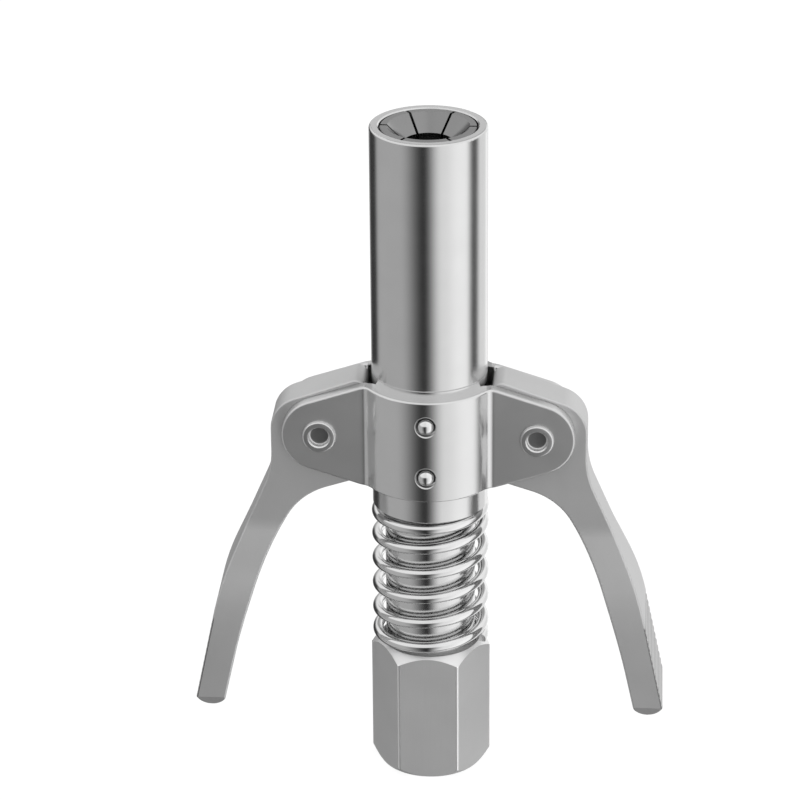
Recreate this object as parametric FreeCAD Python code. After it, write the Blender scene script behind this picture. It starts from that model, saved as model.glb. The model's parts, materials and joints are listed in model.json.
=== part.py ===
import FreeCAD, Part
import math
import os

from FreeCAD import Vector

# Grease coupler: a six-jaw collet in a sliding sleeve that two squeezed levers pull back.
# Millimetres. The origin is the centre of the hexagon's bottom face, +Z points to the mouth,
# -Y is the front, and the levers stand on +X and -X. Every height is for the locked rest
# state: sleeve forward, jaws closed, levers open.

# Driving sizes of the outside
overall_length = 90.0
sleeve_diameter = 15.0
sleeve_length = 52.1
sleeve_edge_round = 0.3
hex_across_flats = 13.7
hex_height = 18.0
hex_top_inset = 0.5
hex_bottom_inset = 0.05
hex_corner_bevel = 0.18

# Grease inlet and passage
inlet_radius = 4.283
inlet_mouth_chamfer = 0.5
inlet_web = 2.0
inlet_relief_radius = 1.5
passage_radius = 1.2

# Stem that everything slides on
stem_radius = 5.9
stem_edge_chamfer = 0.3
tail_radius = 4.5
tail_length = 6.2
tail_end_gap = 0.3
spigot_radius = 3.2
press_gap = 0.03

# O-ring round the stem's tail
o_ring_wire_radius = 0.45
o_ring_below_shoulder = 2.2
o_ring_groove_gap = 0.06

# Non-return valve in the stem
valve_bore_radius = 2.3
valve_bore_depth = 14.2
valve_seat_height = 3.0
valve_seat_lift = 0.6
valve_cone_depth = 0.385
check_ball_radius = 1.75
check_spring_wire_radius = 0.16
check_spring_mean_radius = 1.5
check_spring_turns = 6.0
check_spring_closed_turns = 1.0

# Sprung seal that the nipple presses on
seal_pocket_radius = 2.35
seal_pocket_depth = 3.8
seal_spring_wire_radius = 0.2
seal_spring_side_gap = 0.25
seal_spring_turns = 3.0
seal_spring_closed_turns = 0.5
plunger_tail_length = 2.5
plunger_flange_height = 0.8
plunger_stroke = 0.8
plunger_stop_gap = 0.2
seal_below_lips = 2.2
seal_side_gap = 0.35
seal_height = 2.4
seal_cone_radius = 2.5
seal_cone_depth = 0.9
seal_bore_radius = 1.1
seal_edge_chamfer = 0.2

# Collet jaws
jaw_count = 6
jaw_length = 21.0
jaw_slit = 0.35
jaw_recess = 0.1
jaw_face_radius = 6.15
jaw_face_inner_radius = 5.2
jaw_face_chamfer = 0.1
jaw_neck_radius = 4.8
jaw_tail_chamfer = 0.15
jaw_head_slope = 14.0
jaw_throat_radius = 3.1
jaw_lip_height = 1.0
jaw_lip_back = 0.5
jaw_bore_gap = 0.25
jaw_tail_gap = 0.3
jaw_hook_above_tail = 1.3
jaw_hook_height = 1.4
jaw_hook_reach = 0.7
jaw_hook_gap = 0.15
jaw_tilt = 2.4
jaw_ring_wire_radius = 0.33
jaw_ring_gap = 0.07
jaw_ring_below_hinge = 0.5

# Sleeve bore and mouth
slide_clearance = 0.05
mouth_clearance = 0.15
mouth_chamfer = 0.15
sleeve_neck_gap = 0.65
sleeve_step_gap = 0.5
sleeve_bottom_chamfer = 0.25

# Stamped bracket halves that clasp the sleeve and carry the levers
bracket_height = 14.0
bracket_above_sleeve_bottom = 3.85
bracket_thickness = 1.55
bracket_seat_depth = 0.35
bracket_bend_radius = 1.5
bracket_edge_round = 0.3
seat_step_flat = 0.36
seat_step_height = 0.9
seat_step_round = 0.4
ear_end_radius = 4.9
ear_root_round = 4.0
ear_side_clearance = 0.08

# Pins
bracket_pin_radius = 1.1
bracket_pin_proud = 0.62
bracket_pin_dome_round = 1.08
bracket_pin_spread = 7.2
bracket_pin_countersink = 0.35
pivot_from_sleeve = 6.55
pivot_pin_radius = 1.85
pivot_pin_gap = 0.04
pivot_rim_radius = 2.6
pivot_rim_height = 0.5
pivot_rim_taper = 0.12
pivot_rim_round = 0.24
pivot_rim_gap = 0.02
pivot_hollow_radius = 1.32
pivot_hollow_depth = 1.4
pivot_hollow_chamfer = 0.3

# Levers: a drop is a height below the pivot, a width runs level from the outer edge inwards
lever_thickness = 5.5
lever_swing = 18.0
lever_sleeve_gap = 0.65
lever_top_rise = 0.7
lever_top_slope = 19.4
lever_top_round = 1.2
lever_shoulder_round = 4.5
lever_outer_reach = 6.45
lever_bend_drop = 5.65
lever_bend_round = 12.0
lever_upper_slope = 23.5
grip_bend_drop = 21.89
grip_bend_round = 42.0
grip_slope = 12.0
grip_width = 11.7
grip_thickness = 3.85
grip_inner_slope = 12.84
grip_inner_length = 9.65
grip_inner_round = 112.0
waist_drop = 17.67
waist_width = 4.23
waist_round = 43.0
knee_drop = 9.21
knee_width = 5.24
knee_round = 12.0
heel_from_pivot = 4.15
heel_round = 0.6
tip_drop = 38.0
tip_bulge = 1.5
tip_inner_corner_drop = 0.38
tip_chamfer_depth = 0.85
flare_start_drop = 13.55
flare_slope = 15.0
flare_start_round = 6.0
flare_end_round = 28.0
lever_edge_round = 0.25

# Lever's nose, which pushes on the stem's groove
nose_bite = 1.0
nose_radius = 1.3
nose_gap = 0.06
nose_arm_half_width = 1.0
nose_arm_root_round = 0.8
nose_arm_heel_round = 0.5
nose_groove_floor_gap = 0.3
nose_groove_low_gap = 0.24

# Grooves across the grip
groove_count = 12
groove_pitch = 0.99
groove_width = 0.75
groove_depth = 0.22
groove_end_margin = 0.7

# Main spring
main_spring_inner_gap = 0.3
main_spring_wire_radius = 0.675
main_spring_turns = 6.4
main_spring_closed_turns = 0.7
main_spring_start_angle = 60.0
main_spring_seat_gap = 0.02

# How every spring is wound: pitch of closed turns in wire radii, turns over which they open
spring_closed_pitch = 2.15
spring_opening_turns = 0.35

# Sizes that follow from the driving ones
sleeve_radius = sleeve_diameter / 2
sleeve_bottom = overall_length - sleeve_length
sleeve_bore_radius = stem_radius + slide_clearance
sleeve_neck_radius = jaw_neck_radius + sleeve_neck_gap
hex_flat_radius = hex_across_flats / 2
hex_corner_radius = hex_across_flats / math.sqrt(3)
tail_bottom = hex_height - tail_length
socket_bottom = tail_bottom - tail_end_gap
inlet_depth = socket_bottom - inlet_web
valve_bore_top = tail_bottom + valve_bore_depth
valve_seat_bottom = tail_bottom + valve_seat_lift
valve_seat_top = valve_seat_bottom + valve_seat_height
o_ring_z = hex_height - o_ring_below_shoulder
head_rise = math.tan(math.radians(jaw_head_slope))
jaw_top = overall_length - jaw_recess
jaw_lip_top = jaw_top - (jaw_face_inner_radius - jaw_throat_radius)
jaw_lip_bottom = jaw_lip_top - jaw_lip_height
jaw_tail_z = jaw_top - jaw_length
jaw_hook_z = jaw_tail_z + jaw_hook_above_tail
jaw_hook_top = jaw_hook_z + jaw_hook_height
jaw_hinge_z = (jaw_hook_z + jaw_hook_top) / 2
jaw_ring_z = jaw_hinge_z - jaw_ring_below_hinge
jaw_bore_radius = spigot_radius + jaw_bore_gap
jaw_hook_radius = jaw_bore_radius - jaw_hook_reach
seal_radius = jaw_bore_radius - seal_side_gap
seal_top_z = jaw_lip_bottom - seal_below_lips
seal_bottom_z = seal_top_z - seal_height
plunger_flange_z = seal_bottom_z - plunger_flange_height
plunger_tail_z = plunger_flange_z - plunger_tail_length
spigot_top = plunger_flange_z - plunger_stroke - plunger_stop_gap
seal_pocket_bottom = spigot_top - seal_pocket_depth
seal_spring_mean_radius = seal_pocket_radius - seal_spring_side_gap - seal_spring_wire_radius
piston_top = jaw_tail_z - jaw_tail_gap
bracket_bottom = sleeve_bottom + bracket_above_sleeve_bottom
bracket_top = bracket_bottom + bracket_height
bracket_middle = bracket_bottom + bracket_height / 2
bracket_seat_radius = sleeve_radius - bracket_seat_depth
bracket_inner_radius = bracket_seat_radius + press_gap
bracket_outer_radius = bracket_inner_radius + bracket_thickness
bracket_pin_hole_radius = bracket_pin_radius + press_gap
ear_inner_y = lever_thickness / 2 + ear_side_clearance
ear_outer_y = ear_inner_y + bracket_thickness
pivot_x = sleeve_radius + pivot_from_sleeve
pivot_z = bracket_middle
pivot_hole_radius = pivot_pin_radius + pivot_pin_gap
half_swing = math.radians(lever_swing / 2)
nose_x = stem_radius - nose_bite
nose_drop = (pivot_x - nose_x) * math.tan(half_swing)
nose_z = pivot_z - nose_drop
sleeve_travel = 2 * nose_drop
sleeve_step_z = piston_top + sleeve_travel + sleeve_step_gap
main_spring_mean_radius = stem_radius + main_spring_inner_gap + main_spring_wire_radius

Z_AXIS = Vector(0, 0, 1)
Y_AXIS = Vector(0, 1, 0)
X_AXIS = Vector(1, 0, 0)
ORIGIN = Vector(0, 0, 0)
BIG = 2 * overall_length
SAME_PLACE = 0.01
ROUNDING_SHARE = 0.495


def path_edges(corners, closed=True):
    """Lines through (u, v, radius) corners in the XY plane, each corner rounded by its radius.

    A rounding is limited by the shorter side beside it.
    """
    last = len(corners) - 1
    stops = []
    for index, (u, v, radius) in enumerate(corners):
        here = Vector(u, v, 0)
        if radius == 0 or (not closed and index in (0, last)):
            stops.append((here, None, here))
            continue
        before = Vector(*corners[index - 1][:2], 0)
        after = Vector(*corners[(index + 1) % len(corners)][:2], 0)
        side = min((before - here).Length, (after - here).Length)
        to_before = (before - here).normalize()
        to_after = (after - here).normalize()
        half_angle = to_before.getAngle(to_after) / 2
        inward = (to_before + to_after).normalize()
        reach = min(radius / math.tan(half_angle), ROUNDING_SHARE * side)
        fitted = reach * math.tan(half_angle)
        middle = here + inward * (fitted / math.sin(half_angle) - fitted)
        stops.append((here + to_before * reach, middle, here + to_after * reach))
    edges = []
    for index, (start, middle, end) in enumerate(stops):
        if middle is not None:
            edges.append(Part.Arc(start, middle, end).toShape())
        if index < last or closed:
            following = stops[(index + 1) % len(stops)][0]
            if end.distanceToPoint(following) > 1e-6:
                edges.append(Part.makeLine(end, following))
    return edges


def face_of(edges):
    return Part.Face(Part.Wire(Part.__sortEdges__(edges)))


def stand_up(shape):
    """Turn a shape drawn in XY so that its v axis points up: (u, v) becomes (x, z)."""
    return shape.rotated(ORIGIN, X_AXIS, 90)


def turned(corners):
    """Solid of revolution about Z from (radius, height, rounding) corners."""
    return stand_up(face_of(path_edges(corners))).revolve(ORIGIN, Z_AXIS, 360)


def rod(radius, bottom, top):
    return Part.makeCylinder(radius, top - bottom, Vector(0, 0, bottom))


def upright_slab(edges, half_width):
    """Outline in XZ given thickness along Y, half on each side."""
    slab = stand_up(face_of(edges)).extrude(Vector(0, 2 * half_width, 0))
    slab.translate(Vector(0, -half_width, 0))
    return slab


def box_between(low, high):
    size = high - low
    return Part.makeBox(size.x, size.y, size.z, low)


def mirrored_x(shape):
    return shape.mirror(ORIGIN, X_AXIS)


def coil(mean_radius, wire_radius, bottom, top, turns, start_angle, closed_turns, sides=8):
    """Right-handed compression spring whose closed end turns are ground flat.

    The wire is a loft through small polygons, one every few degrees, whose height rises
    slowly over the closed turns and by a steady pitch between them.
    """
    steps_per_turn = 2 * sides
    close_pitch = spring_closed_pitch * wire_radius
    start_z = bottom + wire_radius / 2
    end_z = top - wire_radius / 2

    def openness(turn):
        from_end = min(turn, turns - turn) - closed_turns
        share = min(max(from_end / spring_opening_turns, 0), 1)
        return share * share * (3 - 2 * share)

    def ring(angle, height):
        outward = Vector(math.cos(angle), math.sin(angle), 0)
        centre = outward * mean_radius + Z_AXIS * height
        points = []
        for side in range(sides):
            turn = 2 * math.pi * (side + 0.5) / sides
            points.append(centre + outward * (wire_radius * math.cos(turn))
                          + Z_AXIS * (wire_radius * math.sin(turn)))
        return Part.makePolygon(points + points[:1])

    steps = round(turns * steps_per_turn)
    weights = [openness((step + 0.5) * turns / steps) for step in range(steps)]
    rise = (end_z - start_z - turns * close_pitch) / sum(weights)
    height = start_z
    rings = []
    for step in range(steps + 1):
        angle = math.radians(start_angle) + 2 * math.pi * turns * step / steps
        rings.append(ring(angle, height))
        if step < steps:
            height += close_pitch * turns / steps + rise * weights[step]
    wire = Part.makeLoft(rings, True, True)
    reach = mean_radius + 2 * wire_radius
    return wire.common(Part.makeCylinder(reach, top - bottom, Vector(0, 0, bottom)))


def hex_connector():
    """Hexagon with a threaded inlet below and the stem's socket above."""
    corners = []
    for index in range(6):
        angle = math.radians(60 * index)
        corners.append((hex_corner_radius * math.cos(angle), hex_corner_radius * math.sin(angle), 0))
    body = face_of(path_edges(corners)).extrude(Vector(0, 0, hex_height))
    bevel_radius = hex_corner_radius - hex_corner_bevel
    top_radius = hex_flat_radius - hex_top_inset
    bottom_radius = hex_flat_radius - hex_bottom_inset
    blank = turned([(0, 0, 0), (bottom_radius, 0, 0), (bevel_radius, bevel_radius - bottom_radius, 0),
                    (bevel_radius, hex_height - (bevel_radius - top_radius), 0),
                    (top_radius, hex_height, 0), (0, hex_height, 0)])
    hole = turned([(0, 0, 0), (inlet_radius + inlet_mouth_chamfer, 0, 0),
                   (inlet_radius, inlet_mouth_chamfer, 0), (inlet_radius, inlet_depth, 0),
                   (inlet_relief_radius, inlet_depth, 0), (inlet_relief_radius, socket_bottom, 0),
                   (tail_radius, socket_bottom, 0), (tail_radius, hex_height, 0),
                   (0, hex_height, 0)])
    return body.common(blank).cut(hole)


def core_stem():
    """Stem screwed into the hexagon: valve bore, lever groove, jaw groove and seal pocket."""
    thread_radius = tail_radius - press_gap
    ring_half = o_ring_wire_radius + o_ring_groove_gap
    ring_floor = tail_radius - 2 * o_ring_wire_radius - o_ring_groove_gap
    groove_floor = nose_x - nose_radius - nose_groove_floor_gap
    groove_low = nose_z - nose_radius - nose_groove_low_gap
    groove_high = nose_z + nose_radius + nose_gap
    edge = stem_edge_chamfer
    hook_floor = jaw_hook_radius - jaw_hook_gap
    outline = [(0, tail_bottom, 0), (thread_radius, tail_bottom, 0),
               (thread_radius, o_ring_z - ring_half, 0), (ring_floor, o_ring_z - ring_half, 0),
               (ring_floor, o_ring_z + ring_half, 0), (thread_radius, o_ring_z + ring_half, 0),
               (thread_radius, hex_height, 0), (stem_radius, hex_height, 0),
               (stem_radius, groove_low - edge, 0), (stem_radius - edge, groove_low, 0),
               (groove_floor, groove_low, 0), (groove_floor, groove_high, 0),
               (stem_radius - edge, groove_high, 0), (stem_radius, groove_high + edge, 0),
               (stem_radius, piston_top - edge, 0), (stem_radius - edge, piston_top, 0),
               (spigot_radius, piston_top, 0),
               (spigot_radius, jaw_hook_z - jaw_hook_gap, 0),
               (hook_floor, jaw_hook_z - jaw_hook_gap, 0),
               (hook_floor, jaw_hook_top + jaw_hook_gap, 0),
               (spigot_radius, jaw_hook_top + jaw_hook_gap, 0),
               (spigot_radius, spigot_top, 0), (0, spigot_top, 0)]
    passages = rod(passage_radius, tail_bottom, spigot_top)
    passages = passages.fuse(rod(valve_bore_radius, tail_bottom, valve_bore_top))
    passages = passages.fuse(rod(seal_pocket_radius, seal_pocket_bottom, spigot_top))
    return turned(outline).cut(passages)


def stem_o_ring():
    centre = tail_radius - o_ring_wire_radius - press_gap
    return Part.makeTorus(centre, o_ring_wire_radius, Vector(0, 0, o_ring_z))


def valve_seat():
    """Pressed ring with a 45 degree cone that the check ball closes."""
    outer = valve_bore_radius - press_gap
    return turned([(passage_radius, valve_seat_bottom, 0), (outer, valve_seat_bottom, 0),
                   (outer, valve_seat_top, 0), (passage_radius + valve_cone_depth, valve_seat_top, 0),
                   (passage_radius, valve_seat_top - valve_cone_depth, 0)])


def check_ball_z():
    """Height at which the ball rests on the seat's cone, less a hair of clearance."""
    cone_bottom = valve_seat_top - valve_cone_depth
    contact = check_ball_radius * math.sin(math.radians(45))
    return cone_bottom + (contact - passage_radius) + contact + press_gap


def check_ball():
    return Part.makeSphere(check_ball_radius, Vector(0, 0, check_ball_z()))


def check_spring():
    """Spring whose bottom turn sits on the ball's crown."""
    touch = check_ball_radius + check_spring_wire_radius + press_gap
    bottom = check_ball_z() + math.sqrt(touch ** 2 - check_spring_mean_radius ** 2)
    return coil(check_spring_mean_radius, check_spring_wire_radius, bottom, valve_bore_top,
                check_spring_turns, 0, check_spring_closed_turns)


def seal_spring():
    return coil(seal_spring_mean_radius, seal_spring_wire_radius, seal_pocket_bottom,
                plunger_tail_z, seal_spring_turns, 0, seal_spring_closed_turns)


def seal_plunger():
    """Flanged tube that carries the seal and slides in the stem's pocket."""
    tail = seal_pocket_radius - slide_clearance
    return turned([(seal_bore_radius, plunger_tail_z, 0), (tail, plunger_tail_z, 0),
                   (tail, plunger_flange_z, 0), (seal_radius, plunger_flange_z, 0),
                   (seal_radius, seal_bottom_z, 0), (seal_bore_radius, seal_bottom_z, 0)])


def face_seal():
    """Rubber ring with a cone that seats on the nipple's dome."""
    return turned([(seal_bore_radius, seal_bottom_z, 0), (seal_radius, seal_bottom_z, 0),
                   (seal_radius, seal_top_z - seal_edge_chamfer, 0),
                   (seal_radius - seal_edge_chamfer, seal_top_z, 0),
                   (seal_cone_radius, seal_top_z, 0),
                   (seal_bore_radius, seal_top_z - seal_cone_depth, 0)])


def jaw_blank():
    """All six jaws as one ring, before the slits part them."""
    cone_bottom = jaw_top - (jaw_face_radius - jaw_neck_radius) / head_rise
    face_edge = jaw_top - jaw_face_chamfer
    ring = turned([(jaw_bore_radius, jaw_tail_z, 0),
                   (jaw_neck_radius - jaw_tail_chamfer, jaw_tail_z, 0),
                   (jaw_neck_radius, jaw_tail_z + jaw_tail_chamfer, 0),
                   (jaw_neck_radius, cone_bottom, 0),
                   (jaw_face_radius - jaw_face_chamfer * head_rise, face_edge, 0),
                   (jaw_face_radius - jaw_face_chamfer, jaw_top, 0),
                   (jaw_face_inner_radius, jaw_top, 0), (jaw_throat_radius, jaw_lip_top, 0),
                   (jaw_throat_radius, jaw_lip_bottom, 0),
                   (jaw_bore_radius, jaw_lip_bottom - jaw_lip_back, 0),
                   (jaw_bore_radius, jaw_hook_top, 0), (jaw_hook_radius, jaw_hook_top, 0),
                   (jaw_hook_radius, jaw_hook_z, 0), (jaw_bore_radius, jaw_hook_z, 0)])
    groove = Part.makeTorus(jaw_neck_radius, jaw_ring_wire_radius + jaw_ring_gap,
                            Vector(0, 0, jaw_ring_z))
    return ring.cut(groove)


def collet_jaws():
    """Each jaw is the wedge of the ring between two slits."""
    ring = jaw_blank()
    pitch = 360.0 / jaw_count
    half_pitch = math.radians(pitch / 2)
    apex = jaw_slit / 2 / math.sin(half_pitch)
    far = 2 * sleeve_radius
    side = far * math.tan(half_pitch)
    wedge_edges = path_edges([(apex, 0, 0), (apex + far, -side, 0), (apex + far, side, 0)])
    wedge = face_of(wedge_edges).extrude(Vector(0, 0, BIG))
    jaws = []
    for index in range(jaw_count):
        cutter = wedge.rotated(ORIGIN, Z_AXIS, pitch * (index + 0.5))
        jaws.append(ring.common(cutter))
    return jaws


def jaw_ring():
    return Part.makeTorus(jaw_neck_radius, jaw_ring_wire_radius, Vector(0, 0, jaw_ring_z))


def bracket_pin_places():
    """Name, side and height of each pin that locks a bracket half to the sleeve."""
    low = bracket_middle - bracket_pin_spread / 2
    high = bracket_middle + bracket_pin_spread / 2
    return [("front_upper", -1, high), ("front_lower", -1, low),
            ("rear_upper", 1, high), ("rear_lower", 1, low)]


def outer_sleeve():
    """Sleeve with a coned mouth, the bracket's seat, lever slots and pin holes."""
    mouth_radius = jaw_face_radius + mouth_clearance
    cone_bottom = overall_length - (mouth_radius - sleeve_neck_radius) / head_rise
    lip = mouth_radius + mouth_chamfer
    chamfer = sleeve_bottom_chamfer
    body = turned([(sleeve_bore_radius, sleeve_bottom, 0),
                   (sleeve_radius - chamfer, sleeve_bottom, 0),
                   (sleeve_radius, sleeve_bottom + chamfer, 0),
                   (sleeve_radius, bracket_bottom, 0), (bracket_seat_radius, bracket_bottom, 0),
                   (bracket_seat_radius, bracket_top + seat_step_flat, 0),
                   (sleeve_radius, bracket_top + seat_step_height, seat_step_round),
                   (sleeve_radius, overall_length, sleeve_edge_round),
                   (lip, overall_length, 0), (mouth_radius, overall_length - mouth_chamfer, 0),
                   (sleeve_neck_radius, cone_bottom, 0),
                   (sleeve_neck_radius, sleeve_step_z + sleeve_bore_radius - sleeve_neck_radius, 0),
                   (sleeve_bore_radius, sleeve_step_z, 0)])
    slot_low = nose_z - nose_radius - lever_sleeve_gap
    slot_high = nose_z + sleeve_travel + nose_radius + lever_sleeve_gap
    slot = box_between(Vector(-BIG, -ear_inner_y, slot_low), Vector(BIG, ear_inner_y, slot_high))
    body = body.cut(slot)
    for _, side, height in bracket_pin_places():
        hole = Part.makeCylinder(bracket_pin_hole_radius, BIG, Vector(0, 0, height), Y_AXIS * side)
        body = body.cut(hole)
    return body


def bend_centre():
    """Centre of the right bend between the wrap and the ear of the front half, seen from above."""
    reach_y = ear_outer_y + bracket_bend_radius
    reach = bracket_outer_radius + bracket_bend_radius
    return Vector(math.sqrt(reach ** 2 - reach_y ** 2), -reach_y, 0)


def strip_face_edges(wrap_radius, bend_radius, ear_y):
    """One face of the front half's bent strip: wrap, two bends and two straight ears."""
    bend = bend_centre()
    meet = bend * (wrap_radius / bend.Length)
    ear_start = Vector(bend.x, -ear_y, 0)
    ear_end = Vector(pivot_x + 2 * ear_end_radius, -ear_y, 0)
    towards = (ear_start + meet - bend * 2).normalize()
    right = [Part.Arc(meet, bend + towards * bend_radius, ear_start).toShape(),
             Part.makeLine(ear_start, ear_end)]
    left = [mirrored_x(edge) for edge in right]
    wrap = Part.Arc(Vector(-meet.x, meet.y, 0), Vector(0, -wrap_radius, 0), meet).toShape()
    return right + left + [wrap]


def bracket_plan():
    """Bent strip of the front half seen from above."""
    outer = strip_face_edges(bracket_outer_radius, bracket_bend_radius, ear_outer_y)
    inner = strip_face_edges(bracket_inner_radius, bracket_bend_radius + bracket_thickness,
                             ear_inner_y)
    far_x = pivot_x + 2 * ear_end_radius
    ends = [Part.makeLine(Vector(x, -ear_outer_y, 0), Vector(x, -ear_inner_y, 0))
            for x in (-far_x, far_x)]
    return face_of(outer + inner + ends)


def ear_outline():
    """Bracket seen from the front: wrap height in the middle, teardrop ears at the sides."""
    bend_x = bend_centre().x
    half_height = bracket_height / 2
    distance = math.hypot(pivot_x - bend_x, half_height)
    slope = math.atan2(half_height, pivot_x - bend_x) - math.asin(ear_end_radius / distance)
    reach_x = pivot_x + ear_end_radius * math.sin(slope)
    reach_z = ear_end_radius * math.cos(slope)
    right_end = Vector(pivot_x + ear_end_radius, bracket_middle, 0)
    top = Vector(reach_x, bracket_middle + reach_z, 0)
    low = Vector(reach_x, bracket_middle - reach_z, 0)
    upper = path_edges([(-reach_x, top.y, 0), (-bend_x, bracket_top, ear_root_round),
                        (bend_x, bracket_top, ear_root_round), (reach_x, top.y, 0)], closed=False)
    lower = path_edges([(-reach_x, low.y, 0), (-bend_x, bracket_bottom, ear_root_round),
                        (bend_x, bracket_bottom, ear_root_round), (reach_x, low.y, 0)],
                       closed=False)
    right = Part.Arc(top, right_end, low).toShape()
    return upper + lower + [right, mirrored_x(right)]


def on_outer_face(point):
    """True where a point lies on the outer face of the front half's strip."""
    bend = bend_centre()
    x = abs(point.x)
    if x > bend.x:
        return abs(point.y + ear_outer_y) < SAME_PLACE
    if x > bend.x * bracket_outer_radius / bend.Length:
        return abs(math.hypot(x - bend.x, point.y - bend.y) - bracket_bend_radius) < SAME_PLACE
    return point.y < 0 and abs(math.hypot(x, point.y) - bracket_outer_radius) < SAME_PLACE


def outer_rim_edges(shape):
    """Edges round the outer face: along the ears, and over and under the wrap."""
    picked = []
    for edge in shape.Edges:
        span = edge.LastParameter - edge.FirstParameter
        points = [edge.valueAt(edge.FirstParameter + share * span) for share in (0, 0.5, 1)]
        upright = edge.BoundBox.XLength < SAME_PLACE
        if not upright and all(on_outer_face(point) for point in points):
            picked.append(edge)
    return picked


def bracket_half():
    """Front half: bent strip trimmed to the ear outline, edges rounded, then drilled."""
    strip = bracket_plan().extrude(Vector(0, 0, BIG))
    half = strip.common(upright_slab(ear_outline(), BIG)).removeSplitter()
    half = half.makeFillet(bracket_edge_round, outer_rim_edges(half))
    for x in (-pivot_x, pivot_x):
        half = half.cut(Part.makeCylinder(pivot_hole_radius, BIG, Vector(x, BIG / 2, pivot_z), -Y_AXIS))
    for _, side, height in bracket_pin_places():
        if side > 0:
            continue
        hole = Part.makeCylinder(bracket_pin_hole_radius, BIG, Vector(0, 0, height), -Y_AXIS)
        sink_depth = 2 * bracket_pin_countersink
        sink_floor = Vector(0, bracket_pin_countersink - bracket_outer_radius, height)
        sink = Part.makeCone(bracket_pin_hole_radius, bracket_pin_hole_radius + sink_depth,
                             sink_depth, sink_floor, -Y_AXIS)
        half = half.cut(hole).cut(sink)
    return half


def bracket_pin(side, height):
    """Dome-headed pin through one bracket half into the sleeve's wall."""
    root = sleeve_bore_radius + slide_clearance
    crest = bracket_outer_radius + bracket_pin_proud
    pin = turned([(0, root, 0), (bracket_pin_radius, root, 0),
                  (bracket_pin_radius, crest, bracket_pin_dome_round), (0, crest, 0)])
    pin.rotate(ORIGIN, X_AXIS, 90 if side < 0 else -90)
    pin.translate(Vector(0, 0, height))
    return pin


def pivot_pin(x):
    """Hollow rivet with a rolled rim on each ear."""
    face = ear_outer_y + pivot_rim_gap
    crest = face + pivot_rim_height
    floor = crest - pivot_hollow_depth
    half = turned([(0, 0, 0), (pivot_pin_radius, 0, 0), (pivot_pin_radius, face, 0),
                   (pivot_rim_radius, face, 0),
                   (pivot_rim_radius - pivot_rim_taper, crest, pivot_rim_round),
                   (pivot_hollow_radius + pivot_hollow_chamfer, crest, 0),
                   (pivot_hollow_radius, crest - pivot_hollow_chamfer, 0),
                   (pivot_hollow_radius, floor, 0), (0, floor, 0)])
    other = half.mirror(ORIGIN, Z_AXIS)
    pin = half.fuse(other).removeSplitter()
    pin.rotate(ORIGIN, X_AXIS, 90)
    pin.translate(Vector(x, 0, pivot_z))
    return pin


def lever_outer_edge(drop):
    """Point of the lever's outer edge at a drop below the pivot, before any rounding."""
    outer_x = pivot_x + lever_outer_reach
    upper_drop = min(drop, grip_bend_drop) - lever_bend_drop
    grip_drop = max(drop - grip_bend_drop, 0)
    x = (outer_x + upper_drop * math.tan(math.radians(lever_upper_slope))
         + grip_drop * math.tan(math.radians(grip_slope)))
    return Vector(x, 0, pivot_z - drop)


def lever_outline():
    """Right lever seen from the front, without the nose's round end."""
    bend = lever_outer_edge(lever_bend_drop)
    grip = lever_outer_edge(grip_bend_drop)
    tip = lever_outer_edge(tip_drop)
    waist = lever_outer_edge(waist_drop) - X_AXIS * waist_width
    knee = lever_outer_edge(knee_drop) - X_AXIS * knee_width
    left_x = sleeve_radius + lever_sleeve_gap
    top_left_z = bracket_top + lever_top_rise
    top_right_z = top_left_z - (bend.x - left_x) * math.tan(math.radians(lever_top_slope))
    tip_inner_x = tip.x - grip_thickness
    grip_inner_x = tip_inner_x - grip_inner_length * math.tan(math.radians(grip_inner_slope))
    arm_slope = math.tan(half_swing)
    arm_rise = nose_arm_half_width / math.cos(half_swing)
    arm_end_x = sleeve_radius + lever_sleeve_gap / 2
    corners = [(tip_inner_x, tip.z - tip_inner_corner_drop, 0),
               (grip_inner_x, tip.z + grip_inner_length, grip_inner_round),
               (waist.x, waist.z, waist_round), (knee.x, knee.z, knee_round),
               (pivot_x - heel_from_pivot, bracket_bottom, heel_round),
               (arm_end_x, nose_z + (arm_end_x - nose_x) * arm_slope - arm_rise, nose_arm_heel_round),
               (nose_x, nose_z - arm_rise, 0), (nose_x, nose_z + arm_rise, 0),
               (left_x, nose_z + (left_x - nose_x) * arm_slope + arm_rise, nose_arm_root_round),
               (left_x, top_left_z, lever_top_round), (bend.x, top_right_z, lever_shoulder_round),
               (bend.x, bend.z, lever_bend_round), (grip.x, grip.z, grip_bend_round),
               (tip.x, tip.z, 0)]
    edges = path_edges(corners, closed=False)
    tip_middle = Vector((tip.x + tip_inner_x) / 2, tip.z - tip_bulge, 0)
    start = Vector(tip_inner_x, tip.z - tip_inner_corner_drop, 0)
    edges.append(Part.Arc(start, tip_middle, Vector(tip.x, tip.z, 0)).toShape())
    return edges


def flare_outline():
    """Lever seen from the side: plate thickness above, flared to the grip's width below."""
    half = lever_thickness / 2
    wide = grip_width / 2
    start_z = pivot_z - flare_start_drop
    end_z = start_z - (wide - half) / math.tan(math.radians(flare_slope))
    tip_z = pivot_z - tip_drop
    side = [(half, BIG, 0), (half, start_z, flare_start_round),
            (wide, end_z, flare_end_round), (wide, tip_z, 0),
            (wide - tip_chamfer_depth, tip_z - tip_bulge, 0)]
    other = [(-y, z, radius) for y, z, radius in reversed(side)]
    return path_edges(side + other)


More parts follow.
